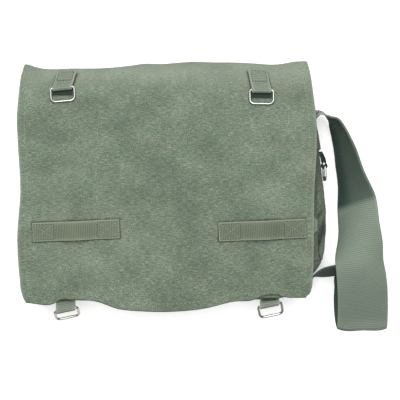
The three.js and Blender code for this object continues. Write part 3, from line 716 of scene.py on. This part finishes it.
# Tabs and rings
# Narrow cotton webbing folded round the bar of a nickel-plated wire ring. Two tabs are sewn near the
# flap's top with a boxed cross, one on the right side wall, and two hang out under the hem.
tab_web = 1.2
tab_lower_lift, tab_upper_lift, tab_rise, fold_radius = 0.9, 2.6, 7, 2.4
tab_rows, tab_columns, covered_painted_shadow, covered_fade = 90, 13, 0.9, 3
bar_lift = tab_lower_lift + fold_radius
seam_gap, facet_gap = 0.3, 0.6
wire = 2.8
ring_width, ring_length, bar_corner, far_corner = 25, 15, 2.2, 4.6
ring_rest = wire / 2 + facet_gap


def webbing(name, rib, shaded_hollow, crest, pale_wear_and_light, shade_and_dye):
    """Cotton webbing: ribs across its length, with painted shade between them, and a dry, matt face.

    Real ribs are about a millimetre apart, too fine to show, and are drawn about twice as coarse.
    """
    material, shader = new_material(name)
    place = add_node(material, "ShaderNodeUVMap", uv_map="cut").outputs["UV"]
    wave_turn = 20  # radians that the wave pattern turns in a unit of its scale
    ribs = add_node(material, "ShaderNodeTexWave", {
        "Vector": place, "Scale": 2 * math.pi / wave_turn * 1000 / rib, "Distortion": 0.6, "Detail": 1.0,
        "Detail Scale": 2.0}, wave_type="BANDS", bands_direction="Y", wave_profile="SIN")
    fuzz = cloth_spots(material, place, across=1.8, along=1.4, detail=3.0)
    patches = cloth_spots(material, place, across=28, along=28, detail=3.0)
    worn = add_node(material, "ShaderNodeMix", {"Factor": 0.3, "A": fuzz, "B": patches})
    height = add_node(material, "ShaderNodeMix", {
        "Factor": 0.66, "A": ribs.outputs["Fac"], "B": worn.outputs["Result"]}).outputs["Result"]
    ribbed = add_node(material, "ShaderNodeValToRGB", {"Fac": height}, ((0.25, shaded_hollow), (0.75, crest)))
    colour = with_dye_and_painted_shade(material, ribbed.outputs["Color"], shade_and_dye)
    colour = paler_by_wear_and_light(material, place, colour, pale_wear_and_light)
    bump = add_node(material, "ShaderNodeBump", {"Height": height, "Strength": 0.55, "Distance": 0.5 * MM})
    material.node_tree.links.new(colour, shader.inputs["Base Color"])
    material.node_tree.links.new(bump.outputs["Normal"], shader.inputs["Normal"])
    shader.inputs["Roughness"].default_value = 0.9
    shader.inputs["Specular IOR Level"].default_value = 0.2
    return material


tab_webbing = webbing("grey_cotton_webbing", 2.0, shaded_hollow="#5d655a", crest="#858f80", pale_wear_and_light="#a6aa9b",
                      shade_and_dye="#202822")
# The side tab's webbing is near black as painted shade, for the shade inside the bowed tab.
shaded_side_webbing = webbing("cotton_webbing_painted_shade", 2.0, shaded_hollow="#121a17", crest="#2c3833", pale_wear_and_light="#46524c",
                       shade_and_dye="#121a17")

# Drawn steel wire, nickel plated and a little dull with use, which gives soft highlights. The thread is
# the same spun cotton as on the hem, but dark.
nickel, nickel_shader = new_material("nickel_plated_steel")
nickel_shader.inputs["Base Color"].default_value = linear("#a9aba7")
nickel_shader.inputs["Metallic"].default_value = 1.0
nickel_shader.inputs["Roughness"].default_value = 0.38
dark_thread, dark_shader = new_material("dark_cotton_thread")
dark_shader.inputs["Base Color"].default_value = linear("#464c40")
dark_shader.inputs["Roughness"].default_value = 0.85


def fold_round(out, lift):
    """Profile of the webbing's half turn round a ring's bar."""
    turns = np.radians((90, 60, 30, 0, -30, -60, -90))
    return [(out + fold_radius * math.cos(turn), lift + fold_radius * math.sin(turn)) for turn in turns]


def sewn_profile(length):
    """Profile of a tab sewn flat, from its cut end over the bar and back underneath."""
    flat = length - tab_rise
    return [
        (0, tab_upper_lift), (flat / 2, tab_upper_lift), (flat, tab_upper_lift),
        *fold_round(length, bar_lift),
        (flat, tab_lower_lift), (flat / 2, tab_lower_lift), (0, tab_lower_lift),
    ]


def tab_piece(name, profile, place, material, covered=0.0):
    """A tab along a profile of how far out and how high it runs, with painted shadow where it is covered.

    The length of its webbing is given too.
    """
    line, reach, _ = smooth_path(profile)
    steps = np.linspace(0, reach[-1], tab_rows)
    out, lift = np.interp(steps, reach, line[:, 0]), np.interp(steps, reach, line[:, 1])
    across = np.linspace(-tab_width / 2, tab_width / 2, tab_columns)
    middle = place(*np.broadcast_arrays(across[None, :], out[:, None], lift[:, None]))
    cut = np.stack(np.broadcast_arrays(across[None, :], steps[:, None]), axis=-1)
    hidden = 1 - eased(out, covered, covered + covered_fade)
    kept_dye_and_shade = covered_painted_shadow * hidden[:, None] if covered else 0.0
    return cloth_piece(name, middle, tab_web / 2, tab_web / 2, cut, material, kept_dye_and_shade), reach[-1]


def wire_ring(name, bar, bar_run, far):
    """A rectangular ring of round wire, with its bar at one point and its far side towards another."""
    bpy.ops.object.select_all(action="DESELECT")
    bpy.ops.mesh.primitive_plane_add(size=1)
    ring = bpy.context.object
    ring.name = name
    ring.scale = (ring_width * MM, ring_length * MM, 1)
    ring.location = (0, ring_length * MM / 2, 0)
    bpy.ops.object.transform_apply(location=True, rotation=False, scale=True)
    bpy.ops.object.mode_set(mode="EDIT")
    bpy.ops.mesh.select_mode(type="VERT")
    for radius, at_bar in ((bar_corner, True), (far_corner, False)):
        corners = bmesh.from_edit_mesh(ring.data)
        for corner in corners.verts:
            corner.select_set((corner.co.y < ring_length * MM / 2) == at_bar)
        corners.select_flush_mode()
        bmesh.update_edit_mesh(ring.data)
        bpy.ops.mesh.bevel(affect="VERTICES", offset=radius * MM, segments=6)
    bpy.ops.mesh.select_all(action="SELECT")
    bpy.ops.mesh.delete(type="ONLY_FACE")
    bpy.ops.object.mode_set(mode="OBJECT")
    bpy.ops.object.convert(target="CURVE")
    ring.data.bevel_depth = wire / 2 * MM
    ring.data.bevel_resolution = 5
    bpy.ops.object.convert(target="MESH")
    bpy.ops.object.shade_smooth()
    bar, bar_run, far = Vector(bar), Vector(bar_run).normalized(), Vector(far)
    reach = far - bar
    reach = (reach - bar_run * reach.dot(bar_run)).normalized()
    turn = Matrix((bar_run, reach, bar_run.cross(reach))).transposed().to_4x4()
    ring.data.transform(Matrix.Translation(bar * MM) @ turn)
    ring.data.materials.append(nickel)
    return ring


def sewn_line(place, corners, lift):
    """Points along straight lines between corners on a placed surface, and the way each faces."""
    corners = np.array(corners, float)
    reach = distances(corners)
    steps = np.arange(0, reach[-1], point_gap)
    u, v = np.interp(steps, reach, corners[:, 0]), np.interp(steps, reach, corners[:, 1])
    points = place(u, v, np.full_like(u, lift))
    face = place(u, v, np.full_like(u, lift + 1)) - points
    return points, face / np.linalg.norm(face, axis=-1, keepdims=True)


def sewn_box(place, first, last, lift):
    """A line of stitches round a box, by two of its corners."""
    (left, low), (right, high) = first, last
    corners = [(left, low), (right, low), (right, high), (left, high), (left, low)]
    return [sewn_line(place, corners, lift)]


def sewn_cross(place, first, last, lift):
    """Two lines of stitches between the corners of a box."""
    (left, low), (right, high) = first, last
    diagonals = [(left, low), (right, high)], [(left, high), (right, low)]
    return [sewn_line(place, corners, lift) for corners in diagonals]


def finish_tab(tab, node):
    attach(tab, "bag")
    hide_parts(node)


def finish_ring(ring, node):
    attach(ring, node)
    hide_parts(node)


tab_box = (-7.8, 1.8), (7.8, 15.5)
tab_boxes, tab_crosses = [], []
for side, tab_x, bar_y, skew, lean in flap_tabs:
    slant = math.tan(math.radians(skew))
    bar_reach = flap_reach_at(bar_y)

    def on_flap(across, out, lift):
        reach = bar_reach + tab_length - out + slant * across * eased(out, 0, tab_length)
        x = tab_x + across + lean * np.clip(1 - out / tab_length, 0, None)
        return flap_point(x, reach, half_canvas + lift)

    tab, length = tab_piece(f"webbing_flap_tab_{side}", sewn_profile(tab_length), on_flap, tab_webbing)
    finish_tab(tab, f"flap_tab_{side}")
    ends = on_flap(np.array((-1, 0, 1)) * tab_width / 2, np.full(3, tab_length), np.full(3, bar_lift))
    far = on_flap(np.zeros(1), np.full(1, tab_length + ring_length), np.full(1, ring_rest))[0]
    ring = wire_ring(f"nickel_flap_ring_{side}", ends[1], ends[2] - ends[0], far)
    finish_ring(ring, f"flap_ring_{side}")
    tab_boxes += sewn_box(on_flap, *tab_box, tab_upper_lift + tab_web / 2)
    tab_crosses += sewn_cross(on_flap, *tab_box, tab_upper_lift + tab_web / 2)
stitches("flap_tab_stitches", tab_boxes, dark_thread)
stitches("flap_tab_cross_stitches", tab_crosses, pale_thread)

side_bar_y, side_length, patch_z = 22, 15.5, 36.5
side_lean, lean_starts, lean_ends = 2.0, (0, 4.5), (10, 14)
straight_starts, straight_ends = 3, side_length - 2


def on_side(across, out, lift):
    """A point of the side tab, which lies on the wall at its sewn end, leans out, and ends straight."""
    along = gusset_top - side_bar_y - side_length + out
    lean = side_lean * eased(out, *lean_starts) * (1 - eased(out, *lean_ends))
    stand = half_canvas + seam_gap + lift - lean * across / (tab_width / 2)
    sewn = gusset_point(along, patch_z + across, stand)
    straight = gusset_point(along, np.full_like(along, patch_z), stand)
    middle = sewn + (straight - sewn) * eased(out, straight_starts, straight_ends)[..., None]
    middle[..., 2] = patch_z + across
    return middle


# How far out, and how high the upper and the lower layer lie there
side_bow = ((0, 2.2, 0.9), (3, 3.6, 2.0), (7.5, 4.6, 2.6), (11.2, 4.6, 2.1))
side_profile = [(out, upper) for out, upper, _ in side_bow] + fold_round(side_length, bar_lift)
side_profile += [(out, lower) for out, _, lower in reversed(side_bow)]
tab, length = tab_piece("webbing_side_tab_right", side_profile, on_side, shaded_side_webbing)
finish_tab(tab, "side_tab_right")
side_bar = on_side(np.zeros(1), np.full(1, side_length), np.full(1, bar_lift))[0]
side_far = on_side(np.zeros(1), np.full(1, side_length + ring_length), np.full(1, ring_rest))[0]
finish_ring(wire_ring("nickel_side_ring_right", side_bar, (0, 0, 1), side_far), "side_ring_right")

# Side, x and y of the bar, length out of the seam, and turn and fall of the ring in degrees
base_tabs = (("left", -107.6, -131.74, 13.4, 12, 52), ("right", 110, -126.48, 8, 12, 35))
base_bar_z, base_leg_top, under_flap = 61.5, 68, 2.5
fold_top, fold_under = base_bar_z + fold_radius, base_bar_z - fold_radius
for side, tab_x, bar_y, out_length, skew, fall in base_tabs:
    slant = math.tan(math.radians(skew))
    leg_y = bar_y + out_length
    profile = [
        (0, base_leg_top), (0, base_leg_top - 1.5), (0.9, fold_top + 0.6), (2.6, fold_top),
        *fold_round(out_length, base_bar_z), (2.6, fold_under + 1.2), (1.2, fold_under + 1.4),
    ]

    def under_hem(across, out, lift):
        y = leg_y - out + slant * across * eased(out, 0, out_length)
        return np.stack([tab_x + across, y, lift], axis=-1)

    # The part under the hem is darkened with painted shadow, for the hem's shadow.
    tab, length = tab_piece(f"webbing_base_tab_{side}", profile, under_hem, tab_webbing, under_flap)
    finish_tab(tab, f"base_tab_{side}")
    bar = Vector((tab_x, leg_y - out_length, base_bar_z))
    drop = math.radians(fall)
    outward = Vector((slant, -1, 0)).normalized() * math.cos(drop) - Vector((0, 0, math.sin(drop)))
    ring = wire_ring(f"nickel_base_ring_{side}", bar, (1, slant, 0), bar + outward)
    finish_ring(ring, f"base_ring_{side}")

# Lash loops
# Two lengths of thicker webbing laid nearly level across the lower flap, sewn down at both ends with a
# boxed cross, and left open in the middle for a lashing strap.
loop_web, loop_lift = 1.6, 1.1
loop_open_half, loop_arch, arch_foot = 21, 5.6, 1.5
loop_columns, loop_rows = 90, 16
sewn_ends, sewn_half = ((-44.5, -23), (23, 44.5)), 8
loop_webbing = webbing("olive_cotton_webbing", 1.8, shaded_hollow="#4d5346", crest="#737b69", pale_wear_and_light="#a6aa9b",
                       shade_and_dye="#2b2f27")
loop_boxes, loop_crosses = [], []
for side, loop_x, loop_y, kept_dye_and_shade in lash_loops:

    def on_loop(run, across, lift):
        x = loop_x + run * math.cos(loop_tilt) - across * math.sin(loop_tilt)
        y = loop_y + run * math.sin(loop_tilt) + across * math.cos(loop_tilt)
        standing = loop_arch * np.clip(1 - (run / loop_open_half) ** 2, 0, None) ** arch_foot
        return flap_point(x, flap_reach_at(y), half_canvas + loop_lift + standing + lift)

    run, across = np.meshgrid(np.linspace(-0.5, 0.5, loop_columns) * loop_length,
                              np.linspace(-0.5, 0.5, loop_rows) * loop_width)
    middle = on_loop(run, across, np.zeros_like(run))
    cut = np.stack([across, run], axis=-1)
    loop = cloth_piece(f"webbing_lash_loop_{side}", middle, loop_web / 2, loop_web / 2, cut, loop_webbing,
                       kept_dye_and_shade)
    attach(loop, "bag")
    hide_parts(f"lash_loop_{side}")
    for start, end in sewn_ends:
        loop_boxes += sewn_box(on_loop, (start, -sewn_half), (end, sewn_half), loop_web / 2)
        loop_crosses += sewn_cross(on_loop, (start, -sewn_half), (end, sewn_half), loop_web / 2)
stitches("lash_loop_stitches", loop_boxes, dark_thread)
stitches("lash_loop_cross_stitches", loop_crosses, pale_thread)

# Shoulder strap
# Wide ribbed cotton webbing sewn to both side walls. It arches off the right wall, twists as it lies
# down beside the bag, folds under and runs on edge round the bag's bottom to the left wall.
strap_width, strap_web, strap_rows, strap_columns = 55, 2, 430, 19
strap_seat = half_canvas + facet_gap + strap_web / 2
patch_low, patch_high, patch_sink, run_z = 39.5, 72, 0.3, 28.6
strap_stations = []


def strap_at(x, y, z, width, cup=0.0):
    """The next place along the strap: its middle, the way its width runs, and how far its edges cup."""
    strap_stations.append((x, y, z, *width, cup))


def strap_on_gusset(along, z, lift, cup=0.0):
    """The next place along the strap where it lies on edge against the walls."""
    x, y, _ = gusset_point(along, z, strap_seat + lift)
    strap_at(x, y, z, (0, 0, 1), cup)


# The right end, sewn on the wall and bowed with it
for y in (patch_low, (patch_low + patch_high) / 2, patch_high):
    along = gusset_top - y
    low, high = gusset_ends(along)
    bend = cubic(gusset_bulge["along"], gusset_bulge["bulge"], along) * (strap_width / (high - low)) ** 2
    strap_on_gusset(along, patch_z, -patch_sink, bend)

# Off the wall in an arch, then down beside the bag with a slow twist
strap_at(163.2, 77.2, 38, (0.03, -0.05, 1), 2.5)
strap_at(166.4, 79.4, 38, (0.02, -0.11, 1), 0.6)
strap_at(171, 77.4, 38, (0.02, -0.1, 1))
strap_at(175.5, 74, 38, (0.06, -0.05, 1))
strap_at(180.1, 70.1, 38, (0.16, 0, 0.99))
strap_at(185.4, 58.7, 38, (0.25, 0, 0.97))
strap_at(190.5, 43.6, 38.5, (0.33, 0, 0.94))
strap_at(194.2, 28.5, 40, (0.41, 0, 0.91))
strap_at(198.7, 6.9, 41, (0.51, 0, 0.86), 1)
strap_at(202.1, -14.7, 44, (0.69, 0, 0.72), 3)
strap_at(202.4, -47, 53, (0.81, 0, 0.58), 8)
strap_at(207.4, -81, 60, (0.95, 0, -0.12), 7)
strap_at(210.6, -106.5, 48, (0.98, 0, -0.16), 4)
strap_at(212.7, -128.8, 27.5, (0.99, 0, -0.1), 2)
strap_at(213.6, -146, 11, (1, 0, -0.05))

# Folded under, and back below itself to the bag's corner
strap_at(213.6, -154.8, 6.6, (1, 0, 0))
strap_at(213.4, -157.6, 4.4, (1, 0, 0))
strap_at(213.1, -154.8, 2.3, (1, 0, 0))
strap_at(211, -142, 1.8, (1, 0, 0))
strap_at(210, -126, 3.6, (1, -0.04, 0.06))
strap_at(210, -110, 9.2, (0.97, 0.07, 0.25))
strap_at(206.8, -97.5, 17.6, (0.81, 0.24, 0.53))
strap_at(198.3, -90.5, 24.6, (0.52, 0.36, 0.78))
strap_at(188, -90.3, 28.2, (0.23, 0.28, 0.93))
strap_at(178.5, -91.8, 28.8, (0.09, 0.25, 0.96))
strap_at(167.8, -93.8, 28.8, (0.03, 0.2, 0.98))
strap_at(159.8, -96.8, 28.7, (0, 0.09, 1))

# On edge along the bottom wall, then up the left one to the left end, which is sewn as the right one is
for along in (212, 223):
    strap_on_gusset(along, run_z, 1.4)
for along in (235, 250, 300, 358, 415, 468, 483, 498, 512, 525, 560):
    strap_on_gusset(along, run_z, 0.6)
left_foot = gusset_run - gusset_top
strap_on_gusset(left_foot, 31, 1.2)
strap_on_gusset(left_foot + 36, 35, 4)
for rise, lift in ((0, 6), (6, 5.2), (8, 3), (6, 0.8)):
    strap_on_gusset(left_foot + patch_high + rise, 38, lift)
for y in (patch_high, (patch_low + patch_high) / 2, patch_low):
    strap_on_gusset(left_foot + y, patch_z, 0)

stations = np.array(strap_stations)
strap_line, strap_reach, strap_row = smooth_path(stations[:, :3])
steps = np.linspace(0, strap_reach[-1], strap_rows)
strap_middle = np.stack([np.interp(steps, strap_reach, column) for column in strap_line.T], axis=1)
strap_run = np.gradient(strap_middle, axis=0)
strap_run /= np.linalg.norm(strap_run, axis=1, keepdims=True)
step_row = np.interp(steps, strap_reach, strap_row)
rows = np.arange(len(stations))
across_way = np.stack([cubic(rows, column, step_row) for column in stations[:, 3:6].T], axis=1)
across_way -= strap_run * np.sum(across_way * strap_run, axis=1, keepdims=True)
across_way /= np.linalg.norm(across_way, axis=1, keepdims=True)
strap_face = np.cross(strap_run, across_way)
share = np.linspace(-1, 1, strap_columns)
cup = np.clip(cubic(rows, stations[:, 6], step_row), 0, None)
half_span = strap_width / 2 - 4 * cup ** 2 / (3 * strap_width)  # a cupped strap spans less
strap_cut = np.stack(np.broadcast_arrays(share * strap_width / 2, steps[:, None]), axis=-1)
strap_grid = (strap_middle[:, None, :] + across_way[:, None, :] * (half_span[:, None] * share)[..., None]
              - strap_face[:, None, :] * (cup[:, None] * share ** 2)[..., None])
fold_reach = strap_reach[np.argmin(strap_line[:, 1])]

# Painted shade: up to the low fold the strap is darkened above a slanting line, where it turns away from
# the light, more so on the inner edge that faces the bag. Past the fold it is darkened mostly where it
# turns in beside the bag, in its shade. Painted light: the arched end is made paler, where its upright sewn
# face is in shade.
shade_line_place, shade_line_slant, shade_line_span = (206, -18.5), -0.36, (-4, 5)
upper_painted_shade, inner_painted_shade, inner_span = 0.62, 0.3, (-0.1, 0.75)
hidden_painted_shade, corner_painted_shade, corner_span = 0.25, 0.55, (130, 160)
arch_reach, arch_fade, light_before = patch_high - patch_low + 12, 14, 6
strap_fray, hidden_loss = 0.4, 0.35
crossing = strap_grid[..., 1] + shade_line_slant * (strap_grid[..., 0] - shade_line_place[0]) - shade_line_place[1]
on_top = (steps < fold_reach)[:, None]
past_arch = eased(steps, arch_reach, arch_reach + arch_fade)[:, None]
shade_above = eased(crossing, *shade_line_span) * (upper_painted_shade + inner_painted_shade * eased(-share, *inner_span)) * past_arch
at_corner = eased(strap_middle[:, :1], *corner_span)
kept_dye_and_shade = np.where(on_top, shade_above, hidden_painted_shade + corner_painted_shade * at_corner)
frayed = np.where(on_top, strap_fray, strap_fray - hidden_loss * at_corner)
end_painted_light = 1 - eased(steps, arch_reach - light_before, arch_reach + arch_fade)[:, None]

# The low fold's two corners are drawn back a little.
corner_length, corner_back = 12, 3.5
near_fold = np.exp(-((steps - fold_reach) / corner_length) ** 2)
strap_grid[..., 1] += corner_back * near_fold[:, None] * share ** 4
strap_webbing = webbing("ribbed_strap_webbing", 2.2, shaded_hollow="#616d61", crest="#808c7e", pale_wear_and_light="#98a194",
                        shade_and_dye="#1c322e")
strap = cloth_piece("webbing_shoulder_strap", strap_grid, strap_web / 2, strap_web / 2, strap_cut,
                    strap_webbing, kept_dye_and_shade, end_painted_light, frayed)
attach(strap, "bag")
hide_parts("shoulder_strap")
